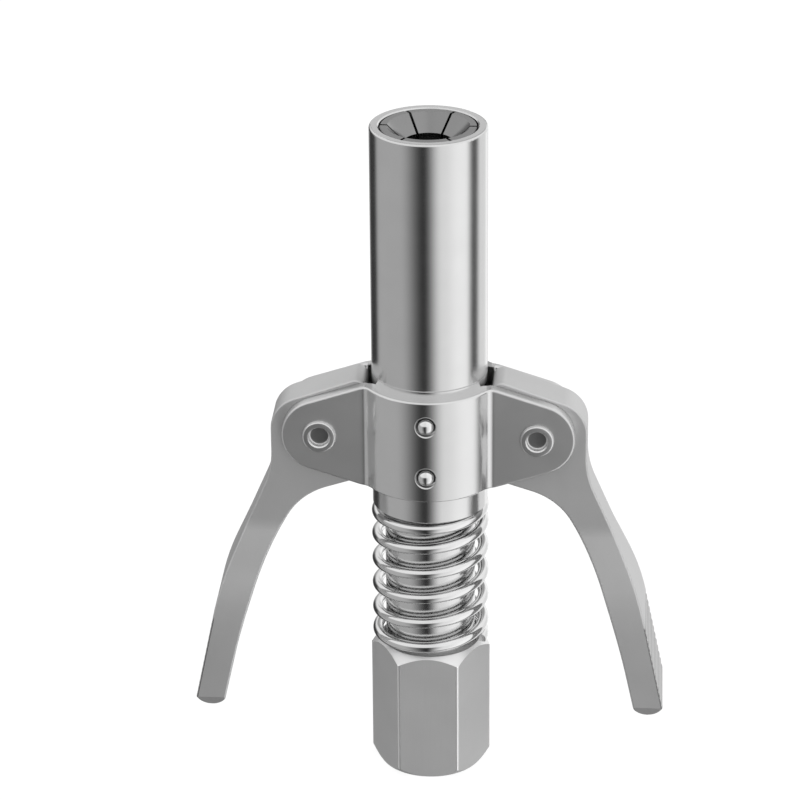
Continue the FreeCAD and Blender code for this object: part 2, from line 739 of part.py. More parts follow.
def grip_grooves():
    """V-shaped cross grooves cut into the grip's outer face, upwards from the tip."""
    tip = lever_outer_edge(tip_drop)
    along = (lever_outer_edge(grip_bend_drop) - tip).normalize()
    outward = Vector(along.z, 0, -along.x)
    lip = outward * groove_depth
    cutters = []
    for index in range(groove_count):
        centre = tip + along * (groove_end_margin + groove_pitch * index)
        corners = [centre - lip, centre + lip + along * groove_width,
                   centre + lip - along * groove_width]
        face = Part.Face(Part.makePolygon(corners + corners[:1]))
        prism = face.extrude(Y_AXIS * (2 * grip_width))
        prism.translate(Y_AXIS * -grip_width)
        cutters.append(prism)
    return cutters


def lever_rim_edges(blade):
    """Edges between the lever's flat sides and its outline, on both sides."""
    half = lever_thickness / 2
    picked = []
    for edge in blade.Edges:
        box = edge.BoundBox
        one_side = box.YMin > half - SAME_PLACE or box.YMax < SAME_PLACE - half
        if one_side and box.ZLength > SAME_PLACE:
            picked.append(edge)
    return picked


def lever():
    """Right lever: flared plate with a round nose, a pivot hole and a grooved grip."""
    blade = upright_slab(lever_outline(), grip_width / 2)
    flare = face_of(flare_outline()).rotated(ORIGIN, X_AXIS, 90)
    flare = flare.rotated(ORIGIN, Z_AXIS, 90).extrude(Vector(BIG, 0, 0))
    blade = blade.common(flare).removeSplitter()
    blade = blade.makeFillet(lever_edge_round, lever_rim_edges(blade))
    nose = Part.makeCylinder(nose_radius, lever_thickness,
                             Vector(nose_x, -lever_thickness / 2, nose_z), Y_AXIS)
    blade = blade.fuse(nose).removeSplitter()
    hole = Part.makeCylinder(pivot_hole_radius, BIG, Vector(pivot_x, -BIG / 2, pivot_z), Y_AXIS)
    blade = blade.cut(hole)
    for cutter in grip_grooves():
        blade = blade.cut(cutter)
    return blade


def main_spring():
    return coil(main_spring_mean_radius, main_spring_wire_radius,
                hex_height + main_spring_seat_gap, sleeve_bottom - main_spring_seat_gap,
                main_spring_turns, main_spring_start_angle, main_spring_closed_turns)


def export(name, shape):
    """Write one sub-part and report its size."""
    solids = shape.Solids
    shape = solids[0] if len(solids) == 1 else Part.makeCompound(solids)
    shape.exportStep("parts/" + name + ".step")
    valid = "valid" if shape.isValid() else "NOT VALID"
    print("%-22s solids %d  volume %9.2f mm3  %s" % (name, len(solids), shape.Volume, valid))


def main():
    os.makedirs("parts", exist_ok=True)
    export("hex_connector", hex_connector())
    export("core_stem", core_stem())
    export("stem_o_ring", stem_o_ring())
    export("valve_seat", valve_seat())
    export("check_ball", check_ball())
    export("check_spring", check_spring())
    export("seal_spring", seal_spring())
    export("seal_plunger", seal_plunger())
    export("face_seal", face_seal())
    for number, jaw in enumerate(collet_jaws(), start=1):
        export("jaw_%d" % number, jaw)
    export("jaw_ring", jaw_ring())
    export("outer_sleeve", outer_sleeve())
    front = bracket_half()
    export("bracket_front", front)
    export("bracket_rear", front.rotated(ORIGIN, Z_AXIS, 180))
    for name, side, height in bracket_pin_places():
        export("bracket_pin_" + name, bracket_pin(side, height))
    export("pivot_pin_right", pivot_pin(pivot_x))
    export("pivot_pin_left", pivot_pin(-pivot_x))
    right_lever = lever()
    export("lever_right", right_lever)
    export("lever_left", mirrored_x(right_lever))
    export("main_spring", main_spring())
    print("sleeve travel %.4f mm, lever swing %.1f deg, jaw tilt %.1f deg"
          % (sleeve_travel, lever_swing, jaw_tilt))
    print("pivot x %.3f z %.3f, jaw hinge z %.3f, nose z %.3f, ear faces y %.3f %.3f"
          % (pivot_x, pivot_z, jaw_hinge_z, nose_z, ear_inner_y, ear_outer_y))
    print("check ball z %.3f, seal top z %.3f" % (check_ball_z(), seal_top_z))


main()
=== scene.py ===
"""Looks of a straight grease coupler: nickel-plated steel, a black seal and a plain white studio.

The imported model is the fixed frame. Most of its nodes keep their shape and get a finish here,
and the pieces that need a smoother or finer form are modelled with bmesh and stand for their node.
Lengths are metres. +Z runs up the stem to the mouth and -Y is the front.
"""

import json
import math

import bmesh
import bpy
from mathutils import Matrix, Vector


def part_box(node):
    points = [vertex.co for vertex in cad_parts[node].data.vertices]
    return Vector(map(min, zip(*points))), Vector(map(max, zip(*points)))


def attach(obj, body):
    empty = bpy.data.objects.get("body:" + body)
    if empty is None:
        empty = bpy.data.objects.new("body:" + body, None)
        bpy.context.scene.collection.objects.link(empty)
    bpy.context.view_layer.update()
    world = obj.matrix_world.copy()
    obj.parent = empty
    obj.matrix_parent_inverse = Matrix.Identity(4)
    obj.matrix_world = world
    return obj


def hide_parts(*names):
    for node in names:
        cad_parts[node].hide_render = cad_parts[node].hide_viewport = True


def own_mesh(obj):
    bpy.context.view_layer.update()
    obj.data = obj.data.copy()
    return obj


bl_info = {
    "name": "Grease Coupler",
    "version": (1, 0, 0),
    "blender": (4, 5, 0),
    "location": "View3D > Sidebar > Coupler",
    "description": "Finishes, fine pieces and a plain studio for a straight grease coupler",
    "category": "Object",
}

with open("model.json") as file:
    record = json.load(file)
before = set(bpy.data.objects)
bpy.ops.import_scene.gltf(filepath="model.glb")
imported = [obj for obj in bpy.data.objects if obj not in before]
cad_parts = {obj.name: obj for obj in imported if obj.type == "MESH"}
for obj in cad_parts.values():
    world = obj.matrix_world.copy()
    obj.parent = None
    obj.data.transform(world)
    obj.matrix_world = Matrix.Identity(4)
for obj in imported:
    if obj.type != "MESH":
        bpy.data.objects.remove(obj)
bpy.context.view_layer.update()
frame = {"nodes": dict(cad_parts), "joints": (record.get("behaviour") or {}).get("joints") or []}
NODES = frame["nodes"]
JAWS = ["jaw_%d" % number for number in range(1, 7)]
BRACKET_PINS = [name for name in NODES if name.startswith("bracket_pin_")]
MM = 0.001
RELIEF = 0.02 * MM  # depth of the fine bumps in every finish
WELD = 0.0005 * MM  # points nearer than this are one
PLATING = (0.95, 1.04)  # shares of a tint that cloudy plating runs between
POLISH = (0.96, 1.03)  # the same for hazy polished metal
ARC_STEPS = 6  # straight edges in a rounding of a turned profile


class Signal:
    """A shader value that Python arithmetic works on by adding Math nodes."""

    def __init__(self, shader, socket):
        self.shader = shader
        self.socket = socket

    def math(self, operation, *values):
        return self.shader.node("ShaderNodeMath", {"operation": operation}, *values)

    def __add__(self, other):
        return self.math("ADD", self, other)

    def __sub__(self, other):
        return self.math("SUBTRACT", self, other)

    def __rsub__(self, other):
        return self.math("SUBTRACT", other, self)

    def __mul__(self, other):
        return self.math("MULTIPLY", self, other)

    def __neg__(self):
        return self.math("MULTIPLY", self, -1.0)

    def __abs__(self):
        return self.math("ABSOLUTE", self)

    __radd__ = __add__
    __rmul__ = __mul__

    def turn_towards(self, other):
        """Angle of the vector whose sine part is this value and whose cosine part is other."""
        return self.math("ARCTAN2", self, other)

    def root(self):
        return self.math("SQRT", self)

    def between(self, low, high):
        """0 below low, 1 above high and a smooth rise between them."""
        settings = {"interpolation_type": "SMOOTHSTEP"}
        return self.shader.node("ShaderNodeMapRange", settings, self, low, high)


class Shader:
    """Node tree of a material or of the world, emptied and ready for new nodes."""

    def __init__(self, owner):
        owner.use_nodes = True
        self.tree = owner.node_tree
        self.tree.nodes.clear()

    def node(self, kind, settings=None, *values, output=0, **named):
        """Add a node, set its settings first and then its sockets, and return one output."""
        node = self.tree.nodes.new(kind)
        for key, value in (settings or {}).items():
            setattr(node, key, value)
        sockets = list(zip(node.inputs, values))
        sockets += [(node.inputs[name.replace("_", " ")], value) for name, value in named.items()]
        for socket, value in sockets:
            if isinstance(value, Signal):
                self.tree.links.new(value.socket, socket)
            elif value is not None:
                socket.default_value = value
        return Signal(self, node.outputs[output]) if node.outputs else None

    def place(self):
        """Object coordinates, which stay with a piece when it moves."""
        return self.node("ShaderNodeTexCoord", output="Object")

    def axis(self, vector, name):
        """One coordinate of a vector, by its letter."""
        return self.node("ShaderNodeSeparateXYZ", None, vector, output=name)

    def stretched(self, vector, scale):
        return self.node("ShaderNodeMapping", {"vector_type": "POINT"}, vector, Scale=scale)

    def noise(self, vector, scale, detail=2.0, roughness=0.5):
        return self.node("ShaderNodeTexNoise", None, Vector=vector, Scale=scale,
                         Detail=detail, Roughness=roughness)

    def shade_between(self, factor, dark, light):
        """Blend of two colours, which runs on past them where the factor leaves 0 to 1."""
        node = self.tree.nodes.new("ShaderNodeMix")
        node.data_type = "RGBA"
        node.clamp_factor = False
        self.tree.links.new(factor.socket, node.inputs["Factor"])
        colours = [socket for socket in node.inputs if socket.type == "RGBA"]
        colours[0].default_value = dark
        colours[1].default_value = light
        return Signal(self, [socket for socket in node.outputs if socket.type == "RGBA"][0])

    def bump(self, height, strength):
        return self.node("ShaderNodeBump", None, Height=height, Strength=strength, Distance=RELIEF)

    def surface(self, **sockets):
        """Principled surface; names are the shader's sockets with underscores for blanks."""
        shader = self.node("ShaderNodeBsdfPrincipled", None, **sockets)
        self.node("ShaderNodeOutputMaterial", None, Surface=shader)

    def metal(self, tint, shares, shine, roughness, height, grain):
        """Metal that shines between two shares of its tint, with a fine relief."""
        dark, light = [grey(tint, share) for share in shares]
        self.surface(Base_Color=self.shade_between(shine, dark, light), Metallic=1.0,
                     Roughness=roughness, Normal=self.bump(height, grain))


def grey(level, share=1.0):
    """Opaque colour from an RGB triple and a share of its brightness."""
    return tuple(min(channel * share, 1.0) for channel in level) + (1.0,)


def new_material(name):
    """A material with its empty node tree and the object coordinates in it."""
    material = bpy.data.materials.new(name)
    shader = Shader(material)
    return material, shader, shader.place()


def with_marks(marks, shader, place, roughness, shine):
    """Roughness and shine after the marks changed them, if there are any; the shine a mark adds is a
    painted highlight and the shine it takes is painted shade.

    The two shares of a tint lie close together, so marks that show are several times their span.
    """
    if marks is None:
        return roughness, shine
    smoother, brighter = marks(shader, place)
    return roughness - smoother, shine + brighter


def turned_metal(name, tint, roughness, ring_size, grain):
    """Plated metal off a lathe: rings round Z that catch the light, and faint cloudy plating."""
    material, shader, place = new_material(name)
    rings = shader.noise(shader.stretched(place, (40.0, 40.0, 1.0 / ring_size)), 1.0, 3.0, 0.6)
    clouds = shader.noise(place, 260.0, 3.0)
    rough = roughness + 0.10 * (rings - 0.5) + 0.05 * (clouds - 0.5)
    shader.metal(tint, PLATING, clouds, rough, rings, grain)
    return material


def sheet_metal(name, tint, roughness, grain, marks=None):
    """Plated sheet or forging: tiny even pits, with long faint lines along Z from the tool.

    Marks is a function of the shader and place that gives how much smoother and brighter it is; that
    brightness is painted: a highlight above 0 and shade below.
    """
    material, shader, place = new_material(name)
    pits = shader.noise(place, 9000.0, 2.0, 0.6)
    lines = shader.noise(shader.stretched(place, (9000.0, 9000.0, 250.0)), 1.0, 2.0)
    clouds = shader.noise(place, 180.0, 3.0)
    height = 0.6 * pits + 0.4 * lines
    rough = roughness + 0.08 * (lines - 0.5) + 0.06 * (clouds - 0.5)
    rough, shine = with_marks(marks, shader, place, rough, clouds)
    shader.metal(tint, PLATING, shine, rough, height, grain)
    return material


def rubbed_edges_painted_highlight(shader, place):
    """The hexagon's corners and its top chamfer: rubbed smoother, and brighter by a painted highlight.
    """
    level = shader.node("ShaderNodeVectorMath", {"operation": "MULTIPLY"}, place, (1, 1, 0))
    reach = shader.node("ShaderNodeVectorMath", {"operation": "LENGTH"}, level, output="Value")
    height = shader.axis(place, "Z")
    corner = HEX_HIGH.x + 0.05 * MM
    cone = HEX_HIGH.z + HEX_HIGH.y - 0.34 * MM
    upper_half = height.between(8 * MM, 9 * MM)
    on_corner = reach.between(corner, corner + 0.02 * MM)
    on_chamfer = (reach + height).between(cone, cone + 0.03 * MM) * upper_half
    # Less roughness for the rubbing, and a painted highlight in the colour.
    return 0.3 * on_corner + 0.25 * on_chamfer, 4.8 * on_corner + 3.5 * on_chamfer


def painted_groove_shade(shader, place):
    """Painted shade in the grip's grooves, found by their depth below the grip's outer face."""
    across = abs(shader.axis(place, "X"))
    above_tip = shader.axis(place, "Z") - GRIP_TIP_Z
    depth = (LEVER_HIGH.x - across) * math.cos(GRIP_SLOPE) - above_tip * math.sin(GRIP_SLOPE)
    in_groove = depth.between(0.03 * MM, 0.13 * MM) * (1 - depth.between(0.22 * MM, 0.24 * MM))
    groove_shade = in_groove * (1 - above_tip.between(11.5 * MM, 12 * MM))
    # Painted shade: the grooves' colour is darkened, their roughness left as it is.
    return 0.0, -7.0 * groove_shade


def painted_hollow_shade(shader, place):
    """Painted shade on the floor of a rivet's hollow, which is also a little rougher there."""
    middle = (RIVET_LOW + RIVET_HIGH) / 2
    across = abs(shader.axis(place, "X")) - middle.x
    height = shader.axis(place, "Z") - middle.z
    off_axis = (across * across + height * height).root()
    hollow_shade = 1 - off_axis.between(1.1 * MM, 1.2 * MM)
    # Painted shade: the floor's colour is darkened, and its roughness raised a little.
    return -0.1 * hollow_shade, -9.5 * hollow_shade


def stamped_metal(name, tint, wrap_roughness, ear_roughness, wrap_reach):
    """Plated strip that bending burnished round the sleeve and left satin on the flat ears."""
    material, shader, place = new_material(name)
    across = abs(shader.axis(place, "X"))
    satin = across.between(wrap_reach - 0.8 * MM, wrap_reach + 0.4 * MM)
    pits = shader.noise(place, 9000.0, 2.0, 0.6)
    clouds = shader.noise(place, 180.0, 3.0)
    rough = wrap_roughness + (ear_roughness - wrap_roughness) * satin + 0.06 * (clouds - 0.5)
    shader.metal(tint, PLATING, clouds, rough, pits, 0.05)
    return material


def polished_metal(name, tint, roughness, marks=None):
    """Bright metal, almost a mirror, with the faintest haze; marks works as on sheet metal."""
    material, shader, place = new_material(name)
    haze = shader.noise(place, 700.0, 4.0, 0.6)
    rough = roughness + 0.06 * (haze - 0.5)
    rough, shine = with_marks(marks, shader, place, rough, haze)
    shader.metal(tint, POLISH, shine, rough, haze, 0.04)
    return material


def rubber(name, tint):
    """Moulded black rubber with a fine matt skin."""
    material, shader, place = new_material(name)
    skin = shader.noise(place, 6000.0, 3.0, 0.6)
    wear = shader.noise(place, 500.0, 2.0)
    shader.surface(
        Base_Color=shader.shade_between(wear, grey(tint, 0.8), grey(tint, 1.4)),
        Metallic=0.0,
        Roughness=0.34 + 0.2 * (wear - 0.5),
        Normal=shader.bump(skin, 0.15))
    return material


def length(name, default, description):
    return bpy.props.FloatProperty(name=name, description=description, default=default, min=0.0,
                                   subtype="DISTANCE", unit="LENGTH", precision=5)


def number(name, default, description):
    return bpy.props.FloatProperty(name=name, description=description, default=default)


def angle(name, default, description):
    return bpy.props.FloatProperty(name=name, description=description, default=math.radians(default),
                                   subtype="ANGLE", unit="ROTATION")


def colour(name, default, description):
    return bpy.props.FloatVectorProperty(name=name, description=description, default=default,
                                         size=3, min=0.0, max=1.0, subtype="COLOR")


SPRING_LOW, SPRING_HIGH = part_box("main_spring")
HEX_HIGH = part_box("hex_connector")[1]
SLEEVE_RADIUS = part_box("outer_sleeve")[1].x
LEVER_LOW, LEVER_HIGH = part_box("lever_right")
GRIP_TIP_Z = LEVER_LOW.z + 1.5 * MM
GRIP_SLOPE = math.radians(12)  # lean of the grip's outer face
RIVET_LOW, RIVET_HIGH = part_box("pivot_pin_right")
SOLID_RIM_HEIGHT = 0.5 * MM  # how far the rim of the rivet's solid stands off the ear
WRAP_END = 7.14 * MM  # distance across, where the bracket's wrap runs into the bend
EAR_START = 8.37 * MM  # distance across, where the bend runs into the flat ear


class CouplerFinishes(bpy.types.PropertyGroup):
    """Colours of the coupler's finishes."""
    bright_nickel: colour("Bright nickel", (0.71, 0.71, 0.71), "Plating of the sleeve and bracket")
    satin_nickel: colour("Satin nickel", (0.69, 0.69, 0.69), "Plating of the levers and the hexagon")
    wire_nickel: colour("Wire nickel", (0.78, 0.78, 0.78), "Plating of the springs and rivets")
    jaw_steel: colour("Jaw steel", (0.28, 0.28, 0.28), "Hardened steel of the collet jaws")
    seal_black: colour("Seal black", (0.08, 0.08, 0.08), "Rubber of the seal and the O-ring")


class ConnectorSizes(bpy.types.PropertyGroup):
    """Sizes of the hexagon and of the thread in its inlet."""
    across_flats: length("Across flats", 13.7 * MM, "Width of the hexagon over two flats")
    corner_bevel: length("Corner bevel", 0.13 * MM, "Width of the bevel down each corner")
    top_inset: length("Top inset", 0.3 * MM, "How far the top's chamfer comes in from the flats")
    bottom_inset: length("Bottom inset", 0.05 * MM, "The same at the bottom")
    thread_radius: length("Thread radius", 4.864 * MM, "Major radius of the inlet's thread")
    crest_radius: length("Crest radius", 4.283 * MM, "Minor radius of the thread")
    thread_pitch: length("Thread pitch", 0.907 * MM, "Rise of the thread in one turn")
    thread_length: length("Thread length", 8.2 * MM, "Length of the threaded stretch")
    inlet_depth: length("Inlet depth", 9.5 * MM, "Depth of the inlet's bore")
    web: length("Web", 2.0 * MM, "Thickness between the inlet and the stem's socket")
    relief_radius: length("Relief radius", 1.5 * MM, "Radius of the hole through the web")
    socket_radius: length("Socket radius", 4.5 * MM, "Radius of the stem's socket")
    mouth_chamfer: length("Mouth chamfer", 0.3 * MM, "Chamfer at the mouth of the inlet")


class PinSizes(bpy.types.PropertyGroup):
    """Sizes of the bracket's dome-headed pins and of the lever's rivets."""
    head_radius: length("Head radius", 1.05 * MM, "Radius of a bracket pin")
    head_round: length("Head round", 0.95 * MM, "Rounding of the dome")
    rivet_radius: length("Rivet radius", 1.85 * MM, "Radius of a rivet's shank")
    rim_radius: length("Rim radius", 2.2 * MM, "Radius of a rivet's rolled rim")
    rim_height: length("Rim height", 0.5 * MM, "How far the rim stands off the ear")
    rim_round: length("Rim round", 0.22 * MM, "Rounding of the rim")
    rim_taper: length("Rim taper", 0.1 * MM, "How far the rim draws in from the ear to its crest")
    hollow_radius: length("Hollow radius", 1.32 * MM, "Radius of the hollow in a rivet's head")
    hollow_depth: length("Hollow depth", 0.8 * MM, "Depth of that hollow")
    hollow_chamfer: length("Hollow chamfer", 0.16 * MM, "Chamfer round its mouth")
    hollow_round: length("Hollow round", 0.15 * MM, "Rounding round its floor")
    wrap_swell: length("Wrap swell", 0.25 * MM, "How far the bracket's wrap stands out past its solid")


class SpringSizes(bpy.types.PropertyGroup):
    """Sizes of the main spring, which fills the same space as its solid."""
    wire: length("Wire", 1.4 * MM, "Diameter of the wire")
    turns: number("Turns", 6.18, "Turns from end to end")
    closed_turns: number("Closed turns", 0.58, "Turns at each end that lie on each other")
    opening_turns: number("Opening turns", 0.35, "Turns over which the pitch opens")
    closed_pitch: number("Closed pitch", 2.15, "Pitch of the closed turns, in wire radii")
    reach: length("Reach", 7.67 * MM, "Outer radius of the coil")
    start: angle("Start", 345.0, "Angle of the wire's bottom end about Z, from +X")


class StudioSettings(bpy.types.PropertyGroup):
    """Floor, light and camera."""
    distance: length("Distance", 468.6 * MM, "Camera's distance from the point it looks at")
    height: length("Height", 45.0 * MM, "Height of that point on the stem's axis")
    azimuth: angle("Azimuth", 3.514, "Camera's turn round the coupler from the front, to its right")
    elevation: angle("Elevation", 25.219, "Camera's angle above the level")
    pan: angle("Pan", 0.473, "Camera's turn about its own upright axis")
    tilt: angle("Tilt", -0.803, "Camera's turn about its own level axis")
    roll: angle("Roll", -0.272, "Camera's turn about its line of sight")
    lens: number("Lens", 161.9, "Focal length in millimetres on a 36 mm sensor")
    floor_radius: length("Floor radius", 2.0, "Radius of the round floor")
    floor_glow: number("Floor glow", 0.88, "Brightness that the floor has of itself")
    floor_paint: number("Floor paint", 0.2, "Share of the light that the floor throws back")


def eased(value):
    """Smooth rise from 0 to 1 as the value goes from 0 to 1, and level beyond them."""
    share = min(max(value, 0.0), 1.0)
    return share * share * (3 - 2 * share)


def everything(bm):
    """All the verts, edges and faces of a bmesh, as its operators take them."""
    return bm.verts[:] + bm.edges[:] + bm.faces[:]


def close_holes(bm):
    """Put a face on each open loop of a bmesh."""
    bmesh.ops.holes_fill(bm, edges=[edge for edge in bm.edges if edge.is_boundary])


def finish_nodes(names, material):
    """Give these nodes of the frame a material."""
    for name in names:
        for slot in NODES[name].material_slots:
            slot.material = material


def piece_from(bm, name, material, body, sharp):
    """Turn a bmesh into a smooth piece with edges sharp above so many degrees, riding a body."""
    bmesh.ops.recalc_face_normals(bm, faces=bm.faces)
    mesh = bpy.data.meshes.new(name)
    bm.to_mesh(mesh)
    bm.free()
    piece = bpy.data.objects.new(name, mesh)
    bpy.context.scene.collection.objects.link(piece)
    mesh.materials.append(material)
    mesh.shade_smooth()
    mesh.set_sharp_from_angle(angle=math.radians(sharp))
    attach(piece, body)
    return piece


def merged_copy(name):
    """Bmesh of a node's solid with its loose triangles joined."""
    bm = bmesh.new()
    bm.from_mesh(NODES[name].data)
    bmesh.ops.remove_doubles(bm, verts=bm.verts, dist=WELD)
    return bm


def chain(bm, corners):
    """Open wire in the XZ plane through (radius, height, rounding) corners."""
    points = []
    for index, (radius, height, rounding) in enumerate(corners):
        here = Vector((radius, 0, height))
        if rounding == 0:
            points.append(here)
            continue
        before = Vector((corners[index - 1][0], 0, corners[index - 1][1])) - here
        after = Vector((corners[index + 1][0], 0, corners[index + 1][1])) - here
        half_angle = before.angle(after) / 2
        middle = here + (before.normalized() + after.normalized()).normalized() * (
            rounding / math.sin(half_angle))
        start = here + before.normalized() * (rounding / math.tan(half_angle)) - middle
        end = here + after.normalized() * (rounding / math.tan(half_angle)) - middle
        points += [middle + rounding * start.normalized().slerp(end.normalized(), step / ARC_STEPS)
                   for step in range(ARC_STEPS + 1)]
    verts = [bm.verts.new(point) for point in points]
    edges = [bm.edges.new(pair) for pair in zip(verts, verts[1:])]
    return verts + edges


def lathe(bm, corners, segments):
    """Turn a chain of corners once round Z."""
    bmesh.ops.spin(bm, geom=chain(bm, corners), cent=(0, 0, 0), axis=(0, 0, 1),
                   angle=2 * math.pi, steps=segments, use_merge=True)
    bmesh.ops.remove_doubles(bm, verts=bm.verts, dist=WELD)


def wind(bm, section, rises, step_angle):
    """Sweep a section round Z, rising by each of these heights in turn."""
    for rise in rises:
        spun = bmesh.ops.spin(bm, geom=section, cent=(0, 0, 0), axis=(0, 0, 1),
                              dvec=(0, 0, rise), angle=step_angle, steps=1, use_merge=False)
        section = spun["geom_last"]
    bmesh.ops.remove_doubles(bm, verts=bm.verts, dist=WELD)


def closed_at(bm, height, outward):
    """Cut a bmesh off level at a height, drop what lies beyond and close the cut."""
    bmesh.ops.bisect_plane(bm, geom=everything(bm), plane_co=(0, 0, height),
                           plane_no=(0, 0, outward), clear_outer=True)
    close_holes(bm)


def joint_travel(name):
    """Longest travel of a sliding joint of the frame."""
    found = [joint for joint in frame["joints"] if joint["name"] == name]
    return found[0]["range_m"][1]


class COUPLER_OT_turned_parts(bpy.types.Operator):
    """Finish the sleeve, stem and inner turned parts"""
    bl_idname = "coupler.turned_parts"
    bl_label = "Turned Parts"

    def execute(self, context):
        finishes = context.scene.coupler_finishes
        sleeve = turned_metal("sleeve_nickel", finishes.bright_nickel, 0.17, 0.035 * MM, 0.10)
        stem = turned_metal("stem_nickel", finishes.bright_nickel, 0.14, 0.03 * MM, 0.08)
        finish_nodes(["outer_sleeve"], sleeve)
        self.seat_ring(sleeve)
        finish_nodes(["core_stem", "valve_seat", "seal_plunger"], stem)
        return {"FINISHED"}

    def seat_ring(self, material):
        """Ring that fills the sleeve's neck above the bracket, just inside the sleeve's surface."""
        bracket_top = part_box("bracket_front")[1].z
        low, high = bracket_top - 0.3 * MM, bracket_top + 0.85 * MM
        inner = SLEEVE_RADIUS - 0.5 * MM
        outer_low, outer_high = SLEEVE_RADIUS - 0.01 * MM, SLEEVE_RADIUS - 0.004 * MM
        bm = bmesh.new()
        lathe(bm, [(inner, low, 0), (outer_low, low, 0), (outer_high, high, 0), (inner, high, 0),
                   (inner, low, 0)], 128)
        piece_from(bm, "sleeve_seat_ring", material, "sleeve", 35)


class COUPLER_OT_connector(bpy.types.Operator):
    """Turn the hexagon's chamfers and cut the thread in its inlet"""
    bl_idname = "coupler.connector"
    bl_label = "Hexagon Connector"

    def execute(self, context):
        sizes = context.scene.coupler_connector
        finishes = context.scene.coupler_finishes
        # Its corners and top chamfer get a painted highlight.
        nickel = sheet_metal("hexagon_nickel", finishes.satin_nickel, 0.68, 0.08, rubbed_edges_painted_highlight)
        bm = bmesh.new()
        self.hexagon(bm, sizes)
        self.bore(bm, sizes)
        body = piece_from(bm, "hexagon_body", nickel, "core", 12)
        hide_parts("hex_connector")

        bm = bmesh.new()
        self.thread(bm, sizes)
        cut = turned_metal("thread_steel", finishes.bright_nickel, 0.3, 0.05 * MM, 0.1)
        piece_from(bm, "inlet_thread", cut, "core", 30)
        return {"FINISHED"}

    def hexagon(self, bm, sizes):
        """Closed prism whose ends are turned down by flat cuts all round a cone."""
        corner_radius = sizes.across_flats / math.sqrt(3)
        height = HEX_HIGH.z
        bmesh.ops.create_circle(bm, segments=6, radius=corner_radius, cap_ends=True)
        bmesh.ops.rotate(bm, verts=bm.verts, matrix=Matrix.Rotation(math.radians(30), 3, "Z"))
        raised = bmesh.ops.extrude_face_region(bm, geom=bm.faces[:], use_keep_orig=True)
        top = [item for item in raised["geom"] if isinstance(item, bmesh.types.BMVert)]
        bmesh.ops.translate(bm, verts=top, vec=(0, 0, height))
        bmesh.ops.recalc_face_normals(bm, faces=bm.faces)
        upright = [edge for edge in bm.edges
                   if abs(edge.verts[0].co.z - edge.verts[1].co.z) > height / 2]
        bmesh.ops.bevel(bm, geom=upright, offset=sizes.corner_bevel, affect="EDGES", segments=2,
                        profile=0.5, material=-1)
        flat_radius = sizes.across_flats / 2
        cuts = 120
        snap = 0.00001 * MM
        for level, outward, inset in ((0.0, -1, sizes.bottom_inset), (height, 1, sizes.top_inset)):
            for index in range(cuts):
                turn = Matrix.Rotation(2 * math.pi * index / cuts, 3, "Z")
                rim = turn @ Vector((flat_radius - inset, 0, level))
                normal = turn @ Vector((1, 0, outward))
                bmesh.ops.bisect_plane(bm, geom=everything(bm), dist=snap, plane_co=rim,
                                       plane_no=normal, clear_outer=True)
                close_holes(bm)

    def bore(self, bm, sizes):
        """Open both ends and join them by the inlet, the web's hole and the stem's socket."""
        height = HEX_HIGH.z
        bm.faces.ensure_lookup_table()
        least_area = 50 * MM * MM
        ends = [face for face in bm.faces
                if abs(face.normal.z) > 0.99 and face.calc_area() > least_area]
        rims = [list(face.edges) for face in ends]
        bmesh.ops.delete(bm, geom=ends, context="FACES_ONLY")
        floor = sizes.inlet_depth + sizes.web
        mouth = sizes.thread_radius + sizes.mouth_chamfer
        before = set(bm.edges)
        lathe(bm, [(mouth, 0, 0), (sizes.thread_radius, sizes.mouth_chamfer, 0),
                   (sizes.thread_radius, sizes.inlet_depth, 0),
                   (sizes.relief_radius, sizes.inlet_depth, 0), (sizes.relief_radius, floor, 0),
                   (sizes.socket_radius, floor, 0), (sizes.socket_radius, height, 0)], 96)
        inner = [edge for edge in bm.edges if edge not in before and edge.is_boundary]
        for rim in rims:
            at_top = rim[0].verts[0].co.z > height / 2
            ring = [edge for edge in inner if (edge.verts[0].co.z > height / 2) == at_top]
            bmesh.ops.bridge_loops(bm, edges=rim + ring)

    def thread(self, bm, sizes):
        """Helical ridge between the thread's root and crest, sunk a little in the bore's wall."""
        steps_per_turn = 48
        steps = round(sizes.thread_length / sizes.thread_pitch * steps_per_turn)
        pitch = sizes.thread_pitch
        root, crest = sizes.thread_radius + 0.05 * MM, sizes.crest_radius
        root_half, crest_half = 0.48 * pitch, 0.1 * pitch
        middle = 0.2 * MM + pitch / 2
        bmesh.ops.create_circle(bm, segments=4, radius=pitch / 2, cap_ends=True)
        places = [(root, -root_half), (crest, -crest_half), (crest, crest_half), (root, root_half)]
        for vert, (radius, height) in zip(bm.verts, places):
            vert.co = (radius, 0, middle + height)
        rises = [pitch / steps_per_turn] * steps
        wind(bm, everything(bm), rises, 2 * math.pi / steps_per_turn)


